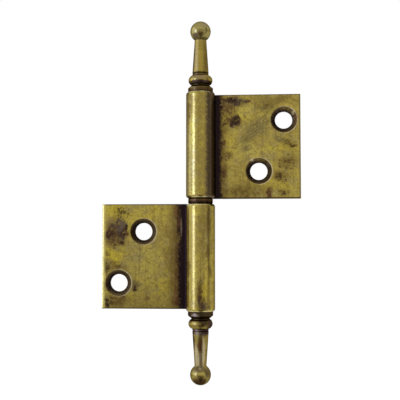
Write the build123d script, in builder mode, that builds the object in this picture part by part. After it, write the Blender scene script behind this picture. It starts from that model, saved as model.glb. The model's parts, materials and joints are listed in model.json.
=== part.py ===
from build123d import *
from math import radians, sqrt, tan
import os

# Lift-off flag hinge for a cabinet door, with a turned finial at each end. Sizes are in millimetres.
# The origin is on the pin's axis, halfway up the bearing ring. +Z runs up the pin to the door leaf's
# finial, +X to the door leaf and -Y to the countersunk faces.

# Knuckle and leaf, one drawn brass profile cut to length
knuckle_diameter = 8.0
knuckle_length = 29.5
knuckle_end_round = 0.9
leaf_reach = 27.5  # from the pin's axis to the leaf's outer edge
leaf_thickness = 2.0
leaf_setback = 1.0  # from the pin's axis back to the leaf's front face, half of the door gap
leaf_short = 0.6  # how far the leaf stops below the finial end of its knuckle
leaf_edge_round = 0.4
root_round = 0.5  # inside corner between leaf and knuckle

# Countersunk holes for wood screws, staggered across the leaf
screw_hole_diameter = 4.8
countersink_diameter = 7.2
countersink_angle = 90.0
outer_hole_margin = 4.6  # in from the leaf's outer edge
outer_hole_drop = 7.1  # down from the leaf's finial end
inner_hole_reach = 16.0  # out from the pin's axis
inner_hole_height = 7.6  # up from the ring end

# Steel pin, pressed in the frame leaf's knuckle and running in the door leaf's
pin_diameter = 4.0
pin_nose_chamfer = 0.6
pin_foot_chamfer = 0.4
pin_end_gap = 1.0  # between an end of the pin and the bottom of its hole
running_clearance = 0.05  # around the pin in the door leaf
press_clearance = 0.01  # around a driven pin or spigot
drill_point_angle = 118.0
hole_mouth_chamfer = 0.3
knuckle_web = 3.5  # between the pin's hole and the finial's hole, drill points included

# Bearing ring between the knuckles
ring_diameter = 6.8
ring_height = 1.4
ring_edge_chamfer = 0.2
ring_clearance = 0.1  # around the pin

# Turned finial, from its seat up, with a spigot below
spigot_diameter = 4.0
spigot_length = 6.5
spigot_chamfer = 0.4
spigot_end_gap = 0.5
collar_diameter = 6.9
collar_height = 1.75
collar_land = 1.0  # straight part of the collar, below its sloped shoulder
groove_depth = 0.8  # below the bead's crown
groove_width = 0.15
bead_diameter = 6.65
bead_section_radius = 1.45
neck_foot_diameter = 4.5
neck_top_diameter = 3.25
neck_length = 10.0
foot_line_rise = 0.35  # turned line around the neck, above the bead
foot_line_width = 0.3
foot_line_depth = 0.15
ball_diameter = 5.7

# Worked out from the above
knuckle_radius = knuckle_diameter / 2
leaf_height = knuckle_length - leaf_short
pin_radius = pin_diameter / 2
spigot_radius = spigot_diameter / 2
spigot_hole_depth = spigot_length + spigot_end_gap
pin_hole_depth = knuckle_length - spigot_hole_depth - knuckle_web
pin_engagement = pin_hole_depth - pin_end_gap

# Each side's own plane, with its +Z from the ring to the finial and its +X along the leaf. The frame side
# is the door side turned half a turn about Y.
door_side = Plane(origin=(0, 0, ring_height / 2), x_dir=(1, 0, 0), z_dir=(0, 0, 1))
frame_side = Plane(origin=(0, 0, -ring_height / 2), x_dir=(-1, 0, 0), z_dir=(0, 0, -1))


def upright(plane):
    """The plane that stands on the given one and faces the countersunk side: radius across, height up."""
    return Plane(origin=plane.origin, x_dir=plane.x_dir, z_dir=-plane.y_dir)


def spindle(plane):
    """The axis that pieces on the given plane are turned about."""
    return Axis(plane.origin, plane.z_dir)


def drill(plane, radius, depth):
    """Cut a blind hole with a chamfered mouth and a drill point into the open part, along the plane's +Z."""
    point = radius / tan(radians(drill_point_angle / 2))
    with BuildSketch(upright(plane)) as bit:
        Polygon(
            (0, 0),
            (radius + hole_mouth_chamfer, 0),
            (radius, hole_mouth_chamfer),
            (radius, depth),
            (0, depth + point),
            align=None,
        )
    revolve(bit.sketch, axis=spindle(plane), mode=Mode.SUBTRACT)


def make_leaf(side, pin_clearance):
    """A leaf with its knuckle and drilled holes, the pin's hole at the ring end with the given clearance."""
    back = Axis(side.origin, side.y_dir)
    front = upright(side).offset(-leaf_setback)
    finial_end = side.offset(knuckle_length)

    with BuildPart() as plate:
        with BuildSketch(front):
            Rectangle(leaf_reach, leaf_height, align=Align.MIN)
        extrude(amount=-leaf_thickness)
        broad_faces = plate.faces().sort_by(back)
        fillet(broad_faces[0].edges() + broad_faces[-1].edges(), leaf_edge_round)

    with BuildPart() as leaf:
        with BuildSketch(side):
            Circle(knuckle_radius)
        extrude(amount=knuckle_length)
        fillet(leaf.edges().filter_by(GeomType.CIRCLE), knuckle_end_round)
        with BuildSketch(side.offset(knuckle_end_round)) as root:
            Circle(knuckle_radius)
            with Locations((0, leaf_setback)):
                Rectangle(knuckle_diameter, leaf_thickness, align=Align.MIN)
            fillet(root.vertices().sort_by(Axis.X)[:2], root_round)
        extrude(amount=knuckle_length - 2 * knuckle_end_round)
        add(plate.part)
        with Locations(front):
            with Locations(
                (leaf_reach - outer_hole_margin, leaf_height - outer_hole_drop),
                (inner_hole_reach, inner_hole_height),
            ):
                CounterSinkHole(
                    screw_hole_diameter / 2,
                    countersink_diameter / 2,
                    counter_sink_angle=countersink_angle,
                )
        drill(side, pin_radius + pin_clearance, pin_hole_depth)
        drill(
            Plane(finial_end.origin, x_dir=side.x_dir, z_dir=-side.z_dir),
            spigot_radius + press_clearance,
            spigot_hole_depth,
        )
    return leaf


def make_finial(side):
    """A turned finial on the finial end of the given side's knuckle, with its spigot inside."""
    seat = side.offset(knuckle_length)
    collar_radius = collar_diameter / 2
    bead_radius = bead_diameter / 2
    groove_radius = bead_radius - groove_depth
    foot_radius = neck_foot_diameter / 2
    top_radius = neck_top_diameter / 2
    ball_radius = ball_diameter / 2
    bead_axis = bead_radius - bead_section_radius

    bead_start = collar_height + groove_width
    bead_middle = bead_start + sqrt(bead_section_radius**2 - (groove_radius - bead_axis) ** 2)
    neck_start = bead_middle + sqrt(bead_section_radius**2 - (foot_radius - bead_axis) ** 2)
    foot_line = neck_start + foot_line_rise
    neck_end = neck_start + neck_length
    ball_middle = neck_end + sqrt(ball_radius**2 - top_radius**2)

    with BuildPart() as finial:
        with BuildSketch(upright(seat)):
            with BuildLine():
                Polyline(
                    (0, -spigot_length),
                    (spigot_radius - spigot_chamfer, -spigot_length),
                    (spigot_radius, spigot_chamfer - spigot_length),
                    (spigot_radius, 0),
                    (collar_radius, 0),
                    (collar_radius, collar_land),
                    (groove_radius, collar_height),
                    (groove_radius, bead_start),
                )
                ThreePointArc((groove_radius, bead_start), (bead_radius, bead_middle), (foot_radius, neck_start))
                Polyline(
                    (foot_radius, neck_start),
                    (foot_radius, foot_line),
                    (foot_radius - foot_line_depth, foot_line + foot_line_width / 2),
                    (foot_radius, foot_line + foot_line_width),
                    (top_radius, neck_end),
                )
                ThreePointArc(
                    (top_radius, neck_end), (ball_radius, ball_middle), (0, ball_middle + ball_radius)
                )
                Line((0, ball_middle + ball_radius), (0, -spigot_length))
            make_face()
        revolve(axis=spindle(seat))
    return finial


upper_leaf = make_leaf(door_side, running_clearance)
lower_leaf = make_leaf(frame_side, press_clearance)
upper_finial = make_finial(door_side)
lower_finial = make_finial(frame_side)

with BuildPart() as hinge_pin:
    with BuildSketch(frame_side.offset(pin_engagement)):
        Circle(pin_radius)
    extrude(amount=-(2 * pin_engagement + ring_height))
    chamfer(hinge_pin.edges().sort_by(Axis.Z)[-1], pin_nose_chamfer)
    chamfer(hinge_pin.edges().sort_by(Axis.Z)[0], pin_foot_chamfer)

with BuildPart() as bearing_ring:
    with BuildSketch(Plane.XY.offset(-ring_height / 2)):
        Circle(ring_diameter / 2)
        Circle(pin_radius + ring_clearance, mode=Mode.SUBTRACT)
    extrude(amount=ring_height)
    outer_rims = bearing_ring.edges().filter_by(GeomType.CIRCLE).group_by(SortBy.RADIUS)[-1]
    chamfer(outer_rims, ring_edge_chamfer)

pieces = {
    "upper_leaf": upper_leaf,
    "lower_leaf": lower_leaf,
    "upper_finial": upper_finial,
    "lower_finial": lower_finial,
    "hinge_pin": hinge_pin,
    "bearing_ring": bearing_ring,
}
os.makedirs("parts", exist_ok=True)
for name, piece in pieces.items():
    piece.part.label = name
    export_step(piece.part, f"parts/{name}.step")
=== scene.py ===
import json
from math import cos, radians, sin

import bpy
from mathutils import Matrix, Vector


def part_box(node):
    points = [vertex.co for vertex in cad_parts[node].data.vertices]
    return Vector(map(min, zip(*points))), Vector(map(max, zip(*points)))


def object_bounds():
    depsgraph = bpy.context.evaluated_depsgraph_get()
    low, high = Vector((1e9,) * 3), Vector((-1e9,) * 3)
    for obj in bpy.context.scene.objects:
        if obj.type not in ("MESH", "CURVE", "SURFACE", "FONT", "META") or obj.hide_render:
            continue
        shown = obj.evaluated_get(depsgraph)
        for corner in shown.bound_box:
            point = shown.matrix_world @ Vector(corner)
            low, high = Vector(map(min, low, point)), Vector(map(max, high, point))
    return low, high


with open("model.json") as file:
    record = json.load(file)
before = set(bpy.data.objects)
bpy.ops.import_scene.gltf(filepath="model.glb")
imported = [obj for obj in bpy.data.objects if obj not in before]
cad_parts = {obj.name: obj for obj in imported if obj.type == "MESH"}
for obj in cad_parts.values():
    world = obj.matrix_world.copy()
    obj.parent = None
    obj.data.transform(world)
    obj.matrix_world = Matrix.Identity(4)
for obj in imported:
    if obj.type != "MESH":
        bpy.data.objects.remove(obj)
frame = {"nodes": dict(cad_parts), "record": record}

cad_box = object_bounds()

# Lift-off flag hinge in aged brass, dressed around its fixed solids. Lengths are named in millimetres and
# turned to Blender's metres by MM. Each side has coordinates of its own, as if its leaf were the door's:
# x out along the leaf, y to the back, z from the ring to the finial. The frame side is half a turn about y
# from it.
MM = 0.001
DOOR_SIDE = 1
FRAME_SIDE = -1
FAR = 1000.0  # a half width with no end, for spots that run on

# Places on a leaf and its knuckle that the patina follows
leaf_low, leaf_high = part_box("upper_leaf")
knuckle_radius = -leaf_low.x / MM
knuckle_start = leaf_low.z / MM
knuckle_end = leaf_high.z / MM
leaf_edge = leaf_high.x / MM
leaf_thickness = 2.0
mounts = {mount["name"]: mount for mount in frame["record"]["mounts"]}
leaf_back = mounts["door_leaf_back"]["pos_m"][1] / MM
leaf_front = leaf_back - leaf_thickness
front_corner = 4.2  # how far out the leaf's front face meets the knuckle, with a little to spare
back_corner = 2.8  # and how far out its back face does
root_margin = 0.6  # past the knuckle, where the leaf proper starts
back_margin = 0.2  # before the leaf's back face, where its hidden side starts
rim_inset = 0.1  # of the worn rims from the ends of the knuckle
edge_inset = 0.2  # of the worn edge from the leaf's outer end

# The two screw holes of a leaf, either way from their middle on a line that leans from level
screws = mounts["door_screws"]
screw_lean = radians(64.08)
screw_reach = screws["dims"]["pcd_mm"] / 2
screw_holes = [
    (
        screws["pos_m"][0] / MM + way * screw_reach * cos(screw_lean),
        screws["pos_m"][2] / MM + way * screw_reach * sin(screw_lean),
    )
    for way in (1, -1)
]
countersink_radius = 3.6

# Sizes of the patterns. A pixel of the picture covers 0.28 mm, so what is finer on real brass, such as
# grit, scuffs and the lines left by drawing and turning, is drawn as coarse as it needs to show.
cloud_size = 9.0
finial_cloud_size = 4.0
mottle_size = 2.6
drift_size = 2.2
blot_size = 1.1
grit_size = 0.55
drawing_line_width = 0.7
drawing_line_length = 18.0
turning_line_width = 0.5
turning_line_length = 12.0
scuff_width = 0.3
scuff_length = 2.6
scuff_slant = 38  # degrees up from level
leaf_wander = 2.6  # how far the rims of stains stray, from end to end
finial_wander = 1.0
mark_depth = 1.2  # half the depth of a mark on a face, so that it stays on that face
leaf_pits = 0.02
finial_pits = 0.015
ring_pits = 0.02
pin_pits = 0.01

# Brass as it ages, first tarnished, then worn and then dirty: colour and roughness. Some are also laid on
# as painted shade, highlights and reflections.
OLIVE = ("#A08E44", 0.2)
TURNED = ("#9A8946", 0.32)
DULL = ("#857338", 0.26)
YELLOW = ("#B3A036", 0.2)
GREY = ("#8D8056", 0.24)
MATT = ("#94803C", 0.46)
RUBBED_AND_SHEEN = ("#AC9C4C", 0.2)
BURNISHED = ("#988D54", 0.19)
WORN = ("#C4B47E", 0.2)
BRIGHT = ("#CFC172", 0.22)
PALE = ("#BCAE8C", 0.25)
BARE_AND_GLINT = ("#E4DAA6", 0.24)
DUSKY = ("#6E6137", 0.3)
LILAC = ("#8B7B66", 0.3)
COPPERY = ("#7E5C34", 0.34)
BROWN = ("#5C4726", 0.32)
RUST = ("#553624", 0.34)
# painted shade: the dark of the knuckle's side that turns from the window
PAINTED_SHADE = ("#4B3C33", 0.36)
PURPLE = ("#463735", 0.38)
UMBER = ("#32231A", 0.36)
BLACKENED = ("#2A1D16", 0.4)
BLACK = ("#211719", 0.34)

# Steel of the pin, and the oil on it
STEEL = ("#AFAEAC", 0.3)
OILED = ("#77736C", 0.4)

EDGE_TINT = "#9C9CA4"  # of what a metal mirrors where it turns away from the eye


def linear(colour):
    """An sRGB hex colour as linear RGBA."""
    channels = [int(colour[i : i + 2], 16) / 255 for i in (1, 3, 5)]
    return [c / 12.92 if c <= 0.04045 else ((c + 0.055) / 1.055) ** 2.4 for c in channels] + [1.0]


def add(tree, kind, inputs=None, out=None, **settings):
    """Add a node with its settings, set or link its inputs by name or number, and give back an output."""
    node = tree.nodes.new(kind)
    for name, value in settings.items():
        setattr(node, name, value)
    for name, value in (inputs or {}).items():
        if isinstance(name, str):
            socket = next(s for s in node.inputs if s.enabled and s.name == name)
        else:
            socket = node.inputs[name]
        if isinstance(value, bpy.types.NodeSocket):
            tree.links.new(value, socket)
        else:
            socket.default_value = value
    outputs = [s for s in node.outputs if s.enabled]
    return next(s for s in outputs if out in (None, s.name)) if outputs else node


def spot(x, y, z, half_width, half_depth, half_height, turn=0):
    """A spot about a point of a side, turned anticlockwise on the front by an angle in degrees."""
    return (x, y, z), (half_width, half_depth, half_height), turn


def on_leaf(x, z, half_width, half_height, turn=0):
    """A spot on a leaf's front face."""
    return spot(x, leaf_front, z, half_width, mark_depth, half_height, turn)


def on_finial(x, depth, height, half_width, half_height):
    """A spot on the front of a finial, at a height above its seat and a depth in front of the axis."""
    return spot(x, -depth, knuckle_end + height, half_width, mark_depth, half_height)


def around(x, z, radius):
    """A round spot about a screw hole that goes right through the leaf."""
    return spot(x, 0, z, radius, FAR, radius)


def streak(x, y, half_width, half_depth):
    """A streak along the whole side, from the ring to the finial."""
    return spot(x, y, 0, half_width, half_depth, FAR)


def at_height(z, half_height):
    """A slice across the whole side."""
    return spot(0, 0, z, FAR, FAR, half_height)


def band(height, half_height):
    """A band around a finial, at a height above its seat."""
    return at_height(knuckle_end + height, half_height)


class Patina:
    """The finish of one metal piece, laid on coat by coat in the own millimetres of its side.

    The noises that mask the coats lie around 0.5, and mostly between 0.3 and 0.7.
    """

    def __init__(self, name, side, ground, wander=0.0):
        self.material = bpy.data.materials.new(name)
        self.material.use_nodes = True
        self.tree = self.material.node_tree
        self.tree.nodes.clear()
        place = add(self.tree, "ShaderNodeTexCoord", out="Object")
        scale = (side / MM, 1 / MM, side / MM)
        self.own = add(self.tree, "ShaderNodeMapping", {"Vector": place, "Scale": scale})
        mottle = {"Vector": self.own, "Scale": 1 / mottle_size, "Detail": 5.0, "Roughness": 0.6}
        self.mottle = add(self.tree, "ShaderNodeTexNoise", mottle)
        grit = {"Vector": self.own, "Scale": 1 / grit_size, "Detail": 3.0, "Roughness": 0.7}
        self.grit = add(self.tree, "ShaderNodeTexNoise", grit)
        self.drifted = self.drift(wander) if wander else self.own
        colour, self.roughness = ground
        self.colour = linear(colour)

    def drift(self, wander):
        """The side's own coordinates, shifted to and fro along the front."""
        shift = {"Vector": self.own, "Scale": 1 / drift_size, "Detail": 4.0}
        shift = add(self.tree, "ShaderNodeTexNoise", shift, "Color")
        shift = add(self.tree, "ShaderNodeVectorMath", {0: shift, 1: (0.5, 0.5, 0.5)}, operation="SUBTRACT")
        shift = {0: shift, 1: (wander, 0.0, wander), 2: self.own}
        return add(self.tree, "ShaderNodeVectorMath", shift, operation="MULTIPLY_ADD")

    def spots(self, places, grain=None, ragged=0.0):
        """The strongest of some spots, 1 at a middle and 0 at a rim. A grain makes rims stray and ragged."""
        strongest = 0.0
        for middle, half_widths, turn in places:
            inside = {
                "Vector": self.drifted if grain else self.own,
                "Location": middle,
                "Rotation": (0, radians(-turn), 0),
                "Scale": half_widths,
            }
            inside = add(self.tree, "ShaderNodeMapping", inside, vector_type="TEXTURE")
            fade = {"Vector": inside}
            fade = add(self.tree, "ShaderNodeTexGradient", fade, "Fac", gradient_type="SPHERICAL")
            strongest = add(self.tree, "ShaderNodeMath", {0: strongest, 1: fade}, operation="MAXIMUM")
        return self.roughened(strongest, grain, ragged) if grain else strongest

    def roughened(self, value, grain, ragged):
        """A value made more where the grain is above its middle, and less where it is below."""
        share = {0: grain, 1: ragged, 2: 1 - ragged / 2}
        share = add(self.tree, "ShaderNodeMath", share, operation="MULTIPLY_ADD")
        return add(self.tree, "ShaderNodeMath", {0: value, 1: share}, operation="MULTIPLY")

    def coat(self, finish, value, start, end, strength=1.0):
        """Lay a finish on, from none where the value is at start to full strength where it is at end."""
        mask = {"Value": value, "From Min": start, "From Max": end, "To Max": strength}
        mask = add(self.tree, "ShaderNodeMapRange", mask, interpolation_type="SMOOTHSTEP")
        colour, roughness = finish
        colours = {"Factor": mask, "A": self.colour, "B": linear(colour)}
        self.colour = add(self.tree, "ShaderNodeMix", colours, data_type="RGBA")
        roughnesses = {"Factor": mask, "A": self.roughness, "B": roughness}
        self.roughness = add(self.tree, "ShaderNodeMix", roughnesses)

    def close(self, pit_depth):
        """Make the shader, pitted by the mottle and the grit, and give back the material."""
        relief = add(self.tree, "ShaderNodeMath", {0: self.mottle, 1: self.grit}, operation="ADD")
        bump = add(self.tree, "ShaderNodeBump", {"Height": relief, "Distance": pit_depth * MM})
        surface = {
            "Base Color": self.colour,
            "Roughness": self.roughness,
            "Metallic": 1.0,
            "Specular Tint": linear(EDGE_TINT),
            "Normal": bump,
        }
        shader = add(self.tree, "ShaderNodeBsdfPrincipled", surface)
        add(self.tree, "ShaderNodeOutputMaterial", {"Surface": shader})
        return self.material


class LeafPatina(Patina):
    """The patina of a leaf with its knuckle, with painted shade and highlights, which follows their ends,
    root, back and screw holes.
    """

    def __init__(self, name, side):
        super().__init__(name, side, OLIVE, leaf_wander)
        self.side = side
        clouds = {"Vector": self.own, "Scale": 1 / cloud_size, "Detail": 3.0}
        self.clouds = add(self.tree, "ShaderNodeTexNoise", clouds)
        blots = {"Vector": self.own, "Scale": 1 / blot_size, "Detail": 4.0, "Roughness": 0.65}
        self.blots = add(self.tree, "ShaderNodeTexNoise", blots)
        lines = {"Vector": self.own, "Scale": (drawing_line_width, drawing_line_width, drawing_line_length)}
        lines = add(self.tree, "ShaderNodeMapping", lines, vector_type="TEXTURE")
        self.drawn = add(self.tree, "ShaderNodeTexNoise", {"Vector": lines, "Scale": 1.0, "Detail": 3.0})
        slant = {
            "Vector": self.own,
            "Rotation": (0, radians(-scuff_slant), 0),
            "Scale": (scuff_length, 1, scuff_width),
        }
        slant = add(self.tree, "ShaderNodeMapping", slant, vector_type="TEXTURE")
        scuffed = {"Vector": slant, "Scale": 1.0, "Detail": 5.0, "Roughness": 0.7}
        self.scuffed = add(self.tree, "ShaderNodeTexNoise", scuffed)
        # Masks that are 1 on the knuckle and the root, and 1 on the back
        out = add(self.tree, "ShaderNodeSeparateXYZ", {"Vector": self.own}, "X")
        knuckle = {0: out, 1: knuckle_radius + root_margin}
        self.knuckle = add(self.tree, "ShaderNodeMath", knuckle, operation="LESS_THAN")
        depth = add(self.tree, "ShaderNodeSeparateXYZ", {"Vector": self.own}, "Y")
        behind = {0: depth, 1: leaf_back - back_margin}
        self.behind = add(self.tree, "ShaderNodeMath", behind, operation="GREATER_THAN")

    def tarnish(self, tints, scuffs):
        """Clouds of dull and yellow tarnish, tinted in places, with drawing lines, scuffs and grit."""
        self.coat(DULL, self.clouds, start=0.52, end=0.38, strength=0.45)
        self.coat(YELLOW, self.clouds, start=0.5, end=0.65, strength=0.4)
        for finish, strength, places in tints:
            spread = self.spots(places, self.mottle, ragged=2.5)
            self.coat(finish, spread, start=0.0, end=0.8, strength=strength)
        self.coat(GREY, self.mottle, start=0.5, end=0.36, strength=0.5)
        self.coat(DULL, self.blots, start=0.52, end=0.36, strength=0.7)
        self.coat(YELLOW, self.blots, start=0.54, end=0.68, strength=0.35)
        self.coat(BROWN, self.drawn, start=0.5, end=0.3, strength=0.3)
        scratches = self.roughened(self.spots(scuffs), self.scuffed, ragged=6.0)
        self.coat(DUSKY, scratches, start=0.15, end=0.9, strength=0.85)
        self.coat(BROWN, self.grit, start=0.5, end=0.33, strength=0.25)
        self.coat(WORN, self.grit, start=0.54, end=0.7, strength=0.22)

    def stain(self, stains_and_painted_light, specks):
        """Stains with ragged rims, and fields where only the roughest of a stain shows, as specks. Some of
        the stains are painted light and shade.
        """
        for finish, strength, places in stains_and_painted_light:
            spread = self.roughened(self.spots(places, self.blots, ragged=4.0), self.grit, ragged=3.0)
            self.coat(finish, spread, start=0.05, end=0.7, strength=strength)
        for finish, strength, places in specks:
            spread = self.roughened(self.spots(places, self.blots, ragged=5.0), self.grit, ragged=2.5)
            self.coat(finish, spread, start=0.4, end=1.15, strength=strength)

    def brighten_knuckle_ends(self):
        """Rub the rims of the knuckle's two ends bare, with a painted highlight on their rounding."""
        lower = at_height(knuckle_start + rim_inset, half_height=0.7)
        upper = at_height(knuckle_end - rim_inset, half_height=0.7)
        ends = self.roughened(self.spots([lower, upper]), self.mottle, ragged=3.0)
        ends = add(self.tree, "ShaderNodeMath", {0: ends, 1: self.knuckle}, operation="MULTIPLY")
        self.coat(BARE_AND_GLINT, ends, start=0.2, end=0.8, strength=0.6)

    def darken_root_dirt_and_shade(self, reach):
        """Dirt and painted shade in the corners between leaf and knuckle, from a brown fringe to black."""
        front = streak(front_corner, leaf_front, half_width=reach, half_depth=2.75)
        back = streak(back_corner, leaf_back, half_width=2.4, half_depth=2.0)
        root = self.roughened(self.spots([front, back]), self.blots, ragged=0.8)
        root = self.roughened(root, self.grit, ragged=0.5)
        fringe = self.roughened(self.roughened(root, self.drawn, ragged=2.0), self.blots, ragged=2.5)
        self.coat(BROWN, fringe, start=0.1, end=0.6, strength=0.7)
        self.coat(UMBER, root, start=0.45, end=0.7, strength=0.75)
        self.coat(BLACK, root, start=0.58, end=0.8)

    def darken_ends(self):
        """Painted shade, with some dirt, on the leaf's upper and lower edges, where they face up or down."""
        facing = add(self.tree, "ShaderNodeTexCoord", out="Normal")
        facing = add(self.tree, "ShaderNodeSeparateXYZ", {"Vector": facing}, "Z")
        facing = add(self.tree, "ShaderNodeMath", {0: facing}, operation="ABSOLUTE")
        facing = add(self.tree, "ShaderNodeMath", {0: facing, 1: self.knuckle}, operation="SUBTRACT")
        self.coat(UMBER, facing, start=0.1, end=0.6, strength=0.75)

    def darken_back(self):
        """Dirt on the leaf's back, in clouds and blots, and most of all round the screw holes."""
        hidden = add(self.tree, "ShaderNodeMath", {0: self.behind, 1: self.knuckle}, operation="SUBTRACT")
        self.coat(BROWN, self.roughened(hidden, self.clouds, ragged=5.0), start=0.3, end=1.6, strength=0.8)
        self.coat(UMBER, self.roughened(hidden, self.blots, ragged=5.0), start=0.8, end=1.8, strength=0.7)
        holes = self.spots([around(x, z, countersink_radius) for x, z in screw_holes])
        holes = add(self.tree, "ShaderNodeMath", {0: holes, 1: hidden}, operation="MULTIPLY")
        self.coat(UMBER, self.roughened(holes, self.blots, ragged=3.0), start=0.05, end=0.4, strength=0.8)

    def darken_countersinks_dirt_shade_highlight(self):
        """Dirt in the countersinks, with painted shade to the left and a painted highlight on the pale right
        rim.
        """
        for finish, rim, shift, start, end in (
            (PALE, 0.28, 0.2, 0.0, 0.1),
            (BROWN, 0.1, 0.0, 0.0, 0.05),
            (BLACK, 0.0, -0.5, 0.02, 0.35),
        ):
            rounds = [around(x + shift * self.side, z, countersink_radius + rim) for x, z in screw_holes]
            sinks = {0: self.spots(rounds), 1: self.behind}
            sinks = add(self.tree, "ShaderNodeMath", sinks, operation="SUBTRACT")
            self.coat(finish, self.roughened(sinks, self.grit, ragged=3.0), start, end, strength=0.9)

    def brighten_edge_wear_and_highlight(self):
        """Brighten the front of the leaf's outer edge, by wear and by a painted highlight where it faces the
        window.
        """
        edge = self.spots([streak(leaf_edge - edge_inset, leaf_front, half_width=1.3, half_depth=1.6)])
        self.coat(BRIGHT, self.roughened(edge, self.mottle, ragged=1.5), start=0.2, end=0.95)

    def mark(self, marks):
        """Marks that lie on top of everything else."""
        for finish, strength, places in marks:
            spread = self.roughened(self.spots(places), self.grit, ragged=4.0)
            self.coat(finish, spread, start=0.05, end=0.6, strength=strength)


# Drawn brass, long in use: faint lines run the same way as the pin, olive tarnish turns yellow and grey in
# soft clouds, corners and countersinks are near black with dirt and painted shade, and rubbed rims shine,
# partly as painted highlights.
def drawn_brass(name, side, root_reach, worn_and_highlit_edge, tints, scuffs, stains_and_painted_light, specks, marks):
    """The finish of a leaf with its knuckle."""
    patina = LeafPatina(name, side)
    patina.tarnish(tints, scuffs)
    patina.stain(stains_and_painted_light, specks)
    patina.brighten_knuckle_ends()
    patina.darken_root_dirt_and_shade(root_reach)
    patina.darken_ends()
    patina.darken_back()
    patina.darken_countersinks_dirt_shade_highlight()
    if worn_and_highlit_edge:
        patina.brighten_edge_wear_and_highlight()
    patina.mark(marks)
    return patina.close(leaf_pits)


# Turned brass, long in use: fine rings run round it, the smooth ball mirrors the window, and dirt makes
# dark lines of the grooves, with painted shade under the ball. Some stains are painted highlights,
# reflections and shade.
def turned_brass(name, side, tints, grooves, stains_and_painted_light):
    """The finish of a finial."""
    patina = Patina(name, side, TURNED, finial_wander)
    tree = patina.tree
    clouds = {"Vector": patina.own, "Scale": 1 / finial_cloud_size, "Detail": 4.0}
    clouds = add(tree, "ShaderNodeTexNoise", clouds)
    rings = {"Vector": patina.own, "Scale": (turning_line_length, turning_line_length, turning_line_width)}
    rings = add(tree, "ShaderNodeMapping", rings, vector_type="TEXTURE")
    rings = add(tree, "ShaderNodeTexNoise", {"Vector": rings, "Scale": 1.0, "Detail": 2.0})
    patina.coat(YELLOW, clouds, start=0.5, end=0.65, strength=0.4)
    patina.coat(DULL, clouds, start=0.5, end=0.38, strength=0.8)
    for finish, strength, places in tints:
        patina.coat(finish, patina.spots(places), start=0.0, end=0.3, strength=strength)
    patina.coat(BROWN, rings, start=0.5, end=0.35, strength=0.35)
    patina.coat(BROWN, patina.grit, start=0.5, end=0.33, strength=0.3)
    for finish, strength, places in grooves:
        dirt_and_shade = patina.roughened(patina.spots(places), patina.grit, ragged=2.5)
        patina.coat(finish, dirt_and_shade, start=0.05, end=0.45, strength=strength)
    for finish, strength, places in stains_and_painted_light:
        spread = patina.spots(places, patina.grit, ragged=3.0)
        patina.coat(finish, spread, start=0.0, end=0.6, strength=strength)
    return patina.close(finial_pits)


# Turned brass, blackened by old oil: it has almost no colour, and is brown where the metal shows through,
# with a brown band round its upper half as a painted highlight.
def blackened_brass(name):
    """The finish of the bearing ring."""
    patina = Patina(name, DOOR_SIDE, BLACKENED)
    patina.coat(BROWN, patina.grit, start=0.52, end=0.68, strength=0.6)
    # Painted highlight: a brown band round the ring's upper half
    highlight_band = patina.roughened(patina.spots([at_height(z=0.2, half_height=0.4)]), patina.mottle, ragged=2.5)
    patina.coat(BROWN, highlight_band, start=0.0, end=0.9, strength=0.8)
    return patina.close(ring_pits)


# Ground steel, lightly oiled: an even grey sheen that the oil dulls in patches.
def ground_steel(name):
    """The finish of the pin."""
    patina = Patina(name, DOOR_SIDE, STEEL)
    patina.coat(OILED, patina.mottle, start=0.5, end=0.65, strength=0.7)
    return patina.close(pin_pits)


# What each piece shows, as a finish, its strength and its spots in the millimetres of its own side. Tints
# are broad changes of tone, specks are fields of small dots, and marks lie on top of all the rest. Some
# stains and marks are painted shade, highlights and reflections.

# Door leaf
door_tints = [
    (GREY, 0.7, [streak(-3.4, -2.2, 2.0, 2.4)]),
    (DULL, 0.6, [streak(0.8, -4.0, 2.2, 2.0)]),
    (BROWN, 0.3, [spot(-3.5, -2.0, 27.0, 1.5, 2.2, 11.0)]),
    (DULL, 0.7, [spot(-2.4, -3.2, 27.5, 1.4, 2.0, 8.0)]),
    (RUBBED_AND_SHEEN, 0.8, [on_leaf(14.5, 13.8, 9.0, 4.0), on_leaf(13.0, 24.6, 4.0, 2.8)]),
    (YELLOW, 0.5, [
        on_leaf(22.0, 15.0, 7.0, 3.0, 10),
        on_leaf(12.5, 24.2, 2.4, 2.4, 30),
        on_leaf(8.0, 16.0, 2.6, 3.4),
        on_leaf(24.0, 4.4, 4.0, 1.8),
    ]),
    (GREY, 0.6, [on_leaf(15.4, 20.4, 6.5, 2.8, 38), on_leaf(12.6, 14.4, 2.4, 1.4, 30)]),
    (BROWN, 0.6, [
        on_leaf(7.4, 25.6, 3.4, 3.4),
        on_leaf(7.0, 20.0, 2.0, 1.6),
        on_leaf(9.0, 22.0, 3.2, 2.8),
        on_leaf(10.0, 27.6, 6.0, 1.9),
        on_leaf(20.8, 17.4, 2.2, 0.9, -35),
        on_leaf(13.0, 2.6, 12.0, 4.0),
        on_leaf(6.6, 8.0, 1.8, 3.5),
        on_leaf(21.0, 28.0, 8.0, 1.6),
        on_leaf(7.5, 12.6, 2.2, 1.8),
    ]),
]
door_scuffs = [
    on_leaf(15.6, 20.4, 7.0, 4.0, 38),
    on_leaf(12.8, 17.2, 5.0, 2.2, 30),
    on_leaf(18.0, 25.6, 4.0, 2.4),
    on_leaf(12.4, 14.4, 3.0, 1.4, 20),
    on_leaf(23.0, 16.6, 4.0, 1.6, -20),
]
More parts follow.
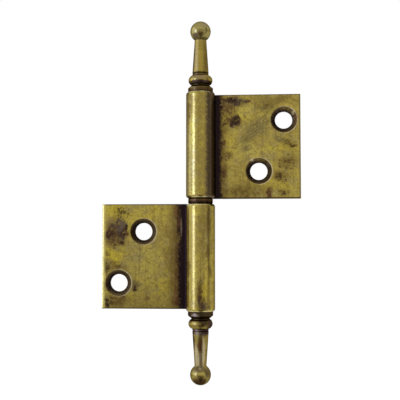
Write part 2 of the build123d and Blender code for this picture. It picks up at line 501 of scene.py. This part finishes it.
door_stains = [
    (BROWN, 0.6, [
        on_leaf(7.2, 26.0, 2.4, 2.4),
        on_leaf(9.2, 22.2, 3.2, 2.4),
        on_leaf(21.5, 7.0, 2.8, 2.2),
        on_leaf(23.4, 10.8, 3.0, 2.0, 20),
        on_leaf(26.2, 15.5, 1.0, 0.9),
        on_leaf(22.6, 2.8, 1.2, 1.1),
        on_leaf(24.2, 2.8, 1.0, 0.9),
        on_leaf(9.6, 2.1, 1.2, 1.0),
    ]),
    (PURPLE, 0.85, [
        on_leaf(8.8, 27.6, 4.6, 1.9),
        on_leaf(12.4, 27.7, 2.2, 0.9),
        on_leaf(9.3, 22.2, 2.4, 1.8, 15),
        on_leaf(9.0, 20.9, 1.0, 1.0),
    ]),
    (UMBER, 0.95, [
        on_leaf(9.5, 22.2, 1.9, 1.4, 30),
        on_leaf(10.4, 23.1, 1.1, 0.9),
        on_leaf(8.3, 27.8, 2.4, 1.2),
        on_leaf(13.2, 27.7, 0.9, 0.6),
        on_leaf(6.4, 21.6, 1.0, 0.8),
    ]),
    (UMBER, 0.5, [
        on_leaf(21.6, 6.9, 1.6, 1.1),
        on_leaf(24.0, 10.6, 1.2, 0.8),
        on_leaf(26.0, 15.2, 0.8, 0.8),
    ]),
    (RUST, 0.95, [
        on_leaf(18.9, 1.9, 1.4, 2.8),
        on_leaf(6.6, 7.6, 0.8, 1.8),
        on_leaf(6.4, 16.2, 0.7, 1.2),
    ]),
]
door_specks = [
    (BROWN, 0.85, [
        on_leaf(24.2, 10.2, 4.0, 4.4),
        on_leaf(24.4, 15.6, 4.0, 2.6),
        on_leaf(8.0, 12.4, 3.4, 2.4),
        on_leaf(12.0, 2.6, 9.0, 2.4),
        on_leaf(8.0, 24.4, 4.0, 5.0),
        on_leaf(18.6, 26.4, 5.0, 2.4),
        on_leaf(22.6, 6.4, 4.0, 3.2),
        on_leaf(22.6, 2.6, 3.0, 2.0),
        spot(-2.9, -2.7, 25.0, 2.0, 2.0, 11.0),
    ]),
    (UMBER, 0.55, [
        on_leaf(8.6, 27.0, 4.8, 2.2),
        on_leaf(22.2, 6.6, 2.4, 2.0),
        on_leaf(25.6, 15.4, 2.0, 1.6),
        on_leaf(8.0, 12.4, 2.2, 1.6),
        on_leaf(22.8, 2.6, 2.0, 1.2),
    ]),
]
door_marks = [
    # Painted shade on the door leaf's outer edge, which turns from the window
    (DUSKY, 0.8, [streak(leaf_edge, leaf_front, 0.6, 1.6)]),
    # Painted shade down the right of the knuckle, the side that turns from the window
    (PAINTED_SHADE, 0.9, [streak(3.2, -2.6, 2.7, 2.6)]),
    (DULL, 0.7, [
        on_leaf(16.4, 11.2, 2.2, 0.8),
        on_leaf(18.8, 8.2, 0.8, 1.6),
        on_leaf(23.6, 25.5, 1.6, 0.7),
    ]),
    (COPPERY, 0.9, [spot(26.25, 1.3, 22.6, 0.6, 1.2, 3.0)]),
    (BARE_AND_GLINT, 0.9, [
        on_leaf(25.3, 24.2, 0.8, 1.0),
        on_leaf(25.4, 22.8, 0.7, 0.9),
        on_leaf(25.3, 21.6, 0.5, 0.6),
    ]),
    (PALE, 0.8, [on_leaf(18.4, 9.8, 0.9, 0.9), on_leaf(14.2, 11.3, 0.8, 0.6)]),
]

# Frame leaf
frame_tints = [
    (BROWN, 0.4, [spot(-1.2, -3.8, 6.0, 2.0, 2.0, 16.0)]),
    (YELLOW, 0.7, [spot(-1.4, -3.7, 24.0, 1.2, 2.0, 5.0)]),
    (RUBBED_AND_SHEEN, 0.7, [on_leaf(15.0, 17.0, 6.0, 9.0)]),
    (YELLOW, 0.9, [on_leaf(24.0, 3.0, 6.0, 4.0), on_leaf(24.5, 15.0, 5.0, 3.5)]),
    (GREY, 0.6, [on_leaf(18.4, 23.2, 3.4, 2.4), on_leaf(17.5, 15.4, 3.0, 2.4)]),
    (BROWN, 0.6, [
        on_leaf(23.6, 8.6, 4.8, 5.2),
        on_leaf(7.2, 15.0, 4.0, 22.0),
        on_leaf(23.0, 27.6, 5.0, 2.4),
        on_leaf(22.4, 18.2, 4.0, 1.2),
        on_leaf(26.3, 18.0, 1.4, 2.8),
        on_leaf(6.6, 2.4, 3.0, 2.8),
    ]),
]
frame_scuffs = [on_leaf(18.4, 23.0, 3.4, 2.0)]
frame_stains_and_painted_light = [
    (DULL, 0.6, [streak(2.3, -3.3, 0.9, 1.2)]),
    (DULL, 0.5, [streak(2.9, -2.7, 1.3, 1.3)]),
    # Painted light on the knuckle's flank by the leaf, where it would mirror the dark corner
    (PALE, 0.6, [streak(3.6, -1.8, 0.7, 1.0)]),
    (BROWN, 0.7, [
        # The first three spots are painted shade down the right of the knuckle, which turns from the window
        spot(-2.4, -3.2, 5.0, 0.9, 1.2, 7.0),
        spot(-2.2, -3.3, 14.0, 0.8, 1.2, 3.5),
        spot(-2.7, -2.9, 19.0, 0.8, 1.2, 3.0),
        spot(-0.3, -4.0, 23.5, 0.9, 1.2, 4.0),
        spot(2.9, -2.7, 18.0, 0.9, 1.2, 3.0),
        on_leaf(23.8, 8.6, 4.2, 5.6),
        on_leaf(18.4, 23.5, 1.6, 1.2, 30),
        on_leaf(26.2, 14.5, 1.1, 1.2),
        on_leaf(26.3, 18.2, 1.0, 1.6),
        on_leaf(22.9, 17.8, 1.2, 0.8),
        on_leaf(15.0, 26.8, 1.0, 0.8),
        on_leaf(21.5, 26.4, 1.4, 1.0),
    ]),
    (PURPLE, 0.85, [
        on_leaf(22.2, 7.4, 2.4, 5.6),
        on_leaf(25.2, 9.2, 2.2, 2.4),
        on_leaf(24.2, 7.0, 1.6, 1.4),
    ]),
    (UMBER, 0.95, [
        on_leaf(22.2, 7.4, 1.3, 3.4),
        on_leaf(25.7, 9.5, 1.1, 1.4),
        on_leaf(20.8, 7.0, 0.9, 1.0),
        on_leaf(22.2, 11.4, 0.9, 0.9),
        on_leaf(24.0, 11.9, 0.9, 0.7),
        on_leaf(18.6, 23.7, 0.9, 0.7, 30),
        on_leaf(26.3, 28.0, 1.3, 2.6),
    ]),
    (RUST, 0.7, [on_leaf(24.8, 8.8, 1.8, 1.8), on_leaf(20.8, 8.6, 0.9, 1.8)]),
    (LILAC, 0.35, [on_leaf(22.2, 6.8, 1.2, 2.6)]),
    (BROWN, 0.85, [spot(-0.1, -4.0, 25.8, 1.1, 2.0, 3.8), spot(-0.7, -3.9, 28.0, 1.8, 2.0, 2.4)]),
    (RUST, 0.6, [spot(-0.2, -4.0, 27.2, 1.0, 2.0, 2.2)]),
    (PURPLE, 0.7, [spot(-1.5, -3.7, 28.5, 1.8, 2.0, 1.7), spot(-0.1, -4.0, 27.4, 0.8, 2.0, 1.8)]),
    (RUST, 0.8, [
        on_leaf(6.8, 2.2, 1.2, 2.6),
        on_leaf(7.0, 27.2, 1.2, 2.4),
        on_leaf(6.6, 15.0, 0.8, 5.0),
    ]),
]
frame_specks = [
    (BROWN, 0.8, [
        on_leaf(22.0, 3.2, 5.0, 3.4),
        on_leaf(24.4, 17.6, 4.6, 2.6),
        on_leaf(23.0, 27.0, 6.0, 3.0),
        on_leaf(24.4, 9.6, 4.0, 5.0),
    ]),
    (UMBER, 0.5, [
        on_leaf(22.2, 3.0, 4.0, 2.4),
        on_leaf(26.2, 18.2, 1.6, 2.4),
        on_leaf(25.6, 27.6, 2.4, 2.0),
    ]),
    (UMBER, 0.8, [on_leaf(25.0, 9.0, 2.4, 3.0), on_leaf(21.2, 8.4, 1.4, 3.0)]),
]
frame_marks = [
    # Dirt and painted shade: the black of the corner carried down the frame leaf's root
    (BLACK, 0.85, [on_leaf(5.6, 19.5, 0.9, 13.0)]),
    (UMBER, 0.7, [on_leaf(6.1, 4.0, 0.9, 7.0)]),
    (RUST, 0.7, [
        on_leaf(5.9, 5.9, 0.9, 1.6),
        on_leaf(6.9, 3.0, 0.6, 2.4),
        on_leaf(6.8, 20.4, 0.6, 3.0),
        on_leaf(6.9, 24.4, 0.7, 2.2),
        on_leaf(6.6, 27.4, 0.8, 2.6),
    ]),
    (COPPERY, 0.5, [
        on_leaf(7.0, 2.6, 0.5, 1.6),
        on_leaf(6.8, 22.4, 0.4, 1.6),
        on_leaf(7.0, 25.8, 0.5, 1.8),
    ]),
    (LILAC, 0.4, [on_leaf(5.4, 7.2, 0.35, 3.8)]),
    # Painted shade, with some dirt, along the frame leaf's lower edge
    (UMBER, 0.7, [on_leaf(15.0, 29.6, 40.0, 0.5)]),
]

# Upper finial
upper_finial_tints = [
    (BURNISHED, 0.9, [band(17.2, 4.0)]),
    (MATT, 1.0, [band(9.8, 5.4)]),
]
upper_finial_grooves = [
    # Painted shade in the crease under the ball
    (UMBER, 0.6, [band(14.7, 0.5)]),
    (UMBER, 0.75, [band(4.95, 0.75)]),
    (UMBER, 0.9, [band(0.3, 0.85), band(2.0, 1.1)]),
    (BROWN, 0.6, [band(0.55, 0.3)]),
]
upper_finial_stains_and_painted_light = [
    # The second spot darkens the bottom of the ball as painted shade
    (BROWN, 0.6, [on_finial(1.8, 1.0, 9.5, 0.9, 7.0), on_finial(0.2, 2.4, 15.8, 1.8, 1.2)]),
    # The second spot darkens the ball's lower left as painted shade
    (PURPLE, 0.75, [on_finial(-2.0, 0.7, 9.0, 1.2, 8.0), on_finial(-1.4, 2.0, 15.4, 1.6, 1.0)]),
    (PURPLE, 0.7, [on_finial(0.0, 2.9, 2.5, 4.0, 0.7)]),
    # The first spot is a painted highlight on the top of the bead
    (LILAC, 0.5, [on_finial(-0.3, 3.0, 3.9, 3.4, 0.9), on_finial(0.9, 2.0, 18.2, 1.8, 1.6)]),
    (LILAC, 0.25, [on_finial(-1.1, 1.8, 9.8, 0.7, 6.0)]),
    (YELLOW, 0.2, [on_finial(0.3, 2.2, 9.6, 0.8, 7.0)]),
]

# Lower finial
lower_finial_tints = [
    (DULL, 0.7, [band(10.0, 6.0)]),
    (DULL, 1.0, [band(17.8, 4.0)]),
    (BURNISHED, 0.3, [band(17.8, 4.0)]),
]
lower_finial_grooves = [
    (UMBER, 0.9, [band(0.5, 1.5), band(1.9, 0.7)]),
    (PURPLE, 0.9, [band(5.2, 1.0)]),
]
lower_finial_stains_and_painted_light = [
    (RUST, 0.8, [on_finial(0.0, 2.0, 8.9, 1.1, 3.2)]),
    (UMBER, 0.9, [on_finial(2.1, 0.8, 8.0, 1.1, 3.0)]),
    # Painted reflections: pale streaks down both sides of the neck
    (PALE, 0.6, [on_finial(1.1, 1.6, 11.8, 0.7, 4.6), on_finial(-0.9, 1.7, 10.5, 0.6, 5.6)]),
    (PURPLE, 0.6, [on_finial(0.3, 1.9, 15.4, 2.2, 1.4)]),
    # Painted reflection, lightening the middle of the neck
    (PALE, 0.55, [on_finial(0.0, 1.9, 13.0, 0.9, 3.2)]),
    (UMBER, 0.9, [on_finial(-1.3, 3.1, 2.5, 2.0, 1.7), on_finial(-2.7, 2.0, 3.0, 1.8, 2.0)]),
    (PURPLE, 0.8, [on_finial(-2.9, 1.6, 3.4, 1.6, 1.8), on_finial(-1.0, 1.6, 5.6, 2.2, 1.3)]),
    (UMBER, 0.75, [on_finial(-1.3, 1.7, 5.2, 1.5, 1.0)]),
    # Painted highlights on the band at the top of the neck and on the collar
    (LILAC, 0.8, [on_finial(0.7, 2.0, 5.5, 1.4, 1.1)]),
    (LILAC, 0.65, [on_finial(1.4, 3.2, 0.9, 1.7, 0.9)]),
    # Painted reflection: a bright band across the ball and a highlight at its left
    (RUBBED_AND_SHEEN, 0.6, [on_finial(-0.6, 2.6, 16.4, 1.8, 0.8), on_finial(1.4, 2.3, 17.2, 1.0, 1.0)]),
    (PURPLE, 0.6, [on_finial(-2.0, 1.6, 16.2, 1.6, 1.8)]),
    # Painted reflection of the dark room, darkening the bottom of the ball
    (BROWN, 0.8, [on_finial(0.1, 2.2, 18.4, 2.6, 2.6)]),
    (UMBER, 0.8, [on_finial(0.0, 2.1, 18.8, 2.4, 2.2)]),
]

finishes = {
    "upper_leaf": drawn_brass(
        "drawn_brass_door_leaf",
        DOOR_SIDE,
        root_reach=4.1,
        worn_and_highlit_edge=False,
        tints=door_tints,
        scuffs=door_scuffs,
        stains_and_painted_light=door_stains,
        specks=door_specks,
        marks=door_marks,
    ),
    "lower_leaf": drawn_brass(
        "drawn_brass_frame_leaf",
        FRAME_SIDE,
        root_reach=5.25,
        # its outer edge faces the window: worn bright, with a painted highlight
        worn_and_highlit_edge=True,
        tints=frame_tints,
        scuffs=frame_scuffs,
        stains_and_painted_light=frame_stains_and_painted_light,
        specks=frame_specks,
        marks=frame_marks,
    ),
    "upper_finial": turned_brass(
        "turned_brass_upper_finial",
        DOOR_SIDE,
        tints=upper_finial_tints,
        grooves=upper_finial_grooves,
        stains_and_painted_light=upper_finial_stains_and_painted_light,
    ),
    "lower_finial": turned_brass(
        "turned_brass_lower_finial",
        FRAME_SIDE,
        tints=lower_finial_tints,
        grooves=lower_finial_grooves,
        stains_and_painted_light=lower_finial_stains_and_painted_light,
    ),
    "bearing_ring": blackened_brass("blackened_turned_brass_ring"),
    "hinge_pin": ground_steel("ground_steel_pin"),
}
for node_name, material in finishes.items():
    frame["nodes"][node_name].material_slots[0].material = material


def toward(azimuth, elevation):
    """The direction out from the hinge: azimuth 0 to the viewer, 90 to the door leaf's side, in degrees."""
    a = radians(azimuth)
    e = radians(elevation)
    return Vector((sin(a) * cos(e), -cos(a) * cos(e), sin(e)))


def place_facing(thing, target, azimuth, elevation, distance):
    """Set a camera, lamp or cloth at a distance from the target, in millimetres, and face it there."""
    outward = toward(azimuth, elevation)
    thing.location = (target + distance * outward) * MM
    thing.rotation_euler = (-outward).to_track_quat("-Z", "Y").to_euler()


# Camera at the viewing angle of the picture
camera_target = Vector((-0.145, 0, 0.309))
camera_azimuth = 4.475
camera_elevation = -3.319
camera_distance = 220.0
camera_lens = 72.07  # on Blender's 36 mm sensor
nearest_view = 10.0
camera = bpy.data.objects.new("camera", bpy.data.cameras.new("camera"))
bpy.context.scene.collection.objects.link(camera)
camera.data.lens = camera_lens
camera.data.clip_start = nearest_view * MM
place_facing(camera, camera_target, camera_azimuth, camera_elevation, camera_distance)
bpy.context.scene.camera = camera


def seen_directly(tree):
    """1 for what the camera sees, also by way of metal or glass, and 0 for light on matt surfaces."""
    seen = 0.0
    for ray in ("Is Camera Ray", "Is Glossy Ray", "Is Transmission Ray"):
        hit = add(tree, "ShaderNodeLightPath", out=ray)
        seen = add(tree, "ShaderNodeMath", {0: seen, 1: hit}, operation="MAXIMUM")
    return seen


# Floor below the hinge, in matt white paint that shows as white with a faint shadow
floor_drop = 12.0
floor_size = 40000.0
floor_glow = 1.2
glow_share = 0.7  # the rest is matt, and takes the shadow
floor_height = cad_box[0].z - floor_drop * MM
bpy.ops.object.select_all(action="DESELECT")
bpy.ops.mesh.primitive_plane_add(size=floor_size * MM, location=(0, 0, floor_height))
floor = bpy.context.active_object
floor.name = "floor"
floor_paint = bpy.data.materials.new("matt_floor_paint")
floor_paint.use_nodes = True
tree = floor_paint.node_tree
tree.nodes.clear()
share = add(tree, "ShaderNodeMath", {0: seen_directly(tree), 1: glow_share}, operation="MULTIPLY")
matt = add(tree, "ShaderNodeBsdfDiffuse", {"Color": linear("#F4F4F2")})
glow = add(tree, "ShaderNodeEmission", {"Color": linear("#FFFFFF"), "Strength": floor_glow})
paint = add(tree, "ShaderNodeMixShader", {0: share, 1: matt, 2: glow})
add(tree, "ShaderNodeOutputMaterial", {"Surface": paint})
floor.data.materials.append(floor_paint)

# White studio, which lights the hinge less than it shows
studio_light = 0.7
studio_white = 1.0
world = bpy.data.worlds.new("studio")
bpy.context.scene.world = world
world.use_nodes = True
tree = world.node_tree
tree.nodes.clear()
brightness = {"Factor": seen_directly(tree), "A": studio_light, "B": studio_white}
brightness = add(tree, "ShaderNodeMix", brightness)
sky = add(tree, "ShaderNodeBackground", {"Color": linear("#FFFFFF"), "Strength": brightness})
add(tree, "ShaderNodeOutputWorld", {"Surface": sky})

hinge_middle = Vector((0, 0, 0))
lamp_distance = 500.0


def set_lamp(name, width, height, energy, colour, azimuth, elevation):
    """A rectangular lamp that faces the hinge, out of the camera's sight."""
    lamp = bpy.data.objects.new(name, bpy.data.lights.new(name, "AREA"))
    bpy.context.scene.collection.objects.link(lamp)
    lamp.data.shape = "RECTANGLE"
    lamp.data.size = width * MM
    lamp.data.size_y = height * MM
    lamp.data.energy = energy
    lamp.data.color = linear(colour)[:3]
    lamp.visible_camera = False
    place_facing(lamp, hinge_middle, azimuth, elevation, lamp_distance)


# Tall window to the left of the viewer, and a pale wall beyond it, a little brighter than the room
set_lamp("window", width=150, height=400, energy=1.95, colour="#A0B0FF", azimuth=-52, elevation=0)
set_lamp("wall", width=300, height=700, energy=1.0, colour="#C4D6FF", azimuth=-85, elevation=4)

# Dyed cotton, a plain grey that only the metal mirrors
cloth_dye = bpy.data.materials.new("dyed_cotton")
cloth_dye.use_nodes = True
cloth_dye.node_tree.nodes.clear()
dye = add(cloth_dye.node_tree, "ShaderNodeBsdfDiffuse", {"Color": linear("#A29A92")})
add(cloth_dye.node_tree, "ShaderNodeOutputMaterial", {"Surface": dye})


def dye_cloth(name):
    """Make the active object a grey cloth, out of the camera's sight and casting no shadow."""
    cloth = bpy.context.active_object
    cloth.name = name
    cloth.data.materials.append(cloth_dye)
    cloth.visible_camera = False
    cloth.visible_diffuse = False
    cloth.visible_shadow = False
    return cloth


# Upright cloth to the right of the viewer
side_cloth_width = 110.0
side_cloth_height = 700.0
bpy.ops.object.select_all(action="DESELECT")
bpy.ops.mesh.primitive_plane_add(size=1.0)
side_cloth = dye_cloth("side_cloth")
side_cloth.scale = (side_cloth_width * MM, side_cloth_height * MM, 1)
place_facing(side_cloth, hinge_middle, azimuth=72, elevation=0, distance=350)

# Three-cornered cloth on the floor in front, with one corner under the hinge
front_cloth_radius = 300.0
front_cloth_distance = 303.0
front_cloth_azimuth = 8
cloth_thickness = 1.0
bpy.ops.object.select_all(action="DESELECT")
bpy.ops.mesh.primitive_circle_add(vertices=3, radius=front_cloth_radius * MM, fill_type="NGON")
front_cloth = dye_cloth("front_cloth")
front_cloth.location = front_cloth_distance * MM * toward(front_cloth_azimuth, 0)
front_cloth.location.z = floor_height + cloth_thickness * MM
front_cloth.rotation_euler.z = radians(front_cloth_azimuth)

bpy.context.scene.view_settings.view_transform = "Standard"
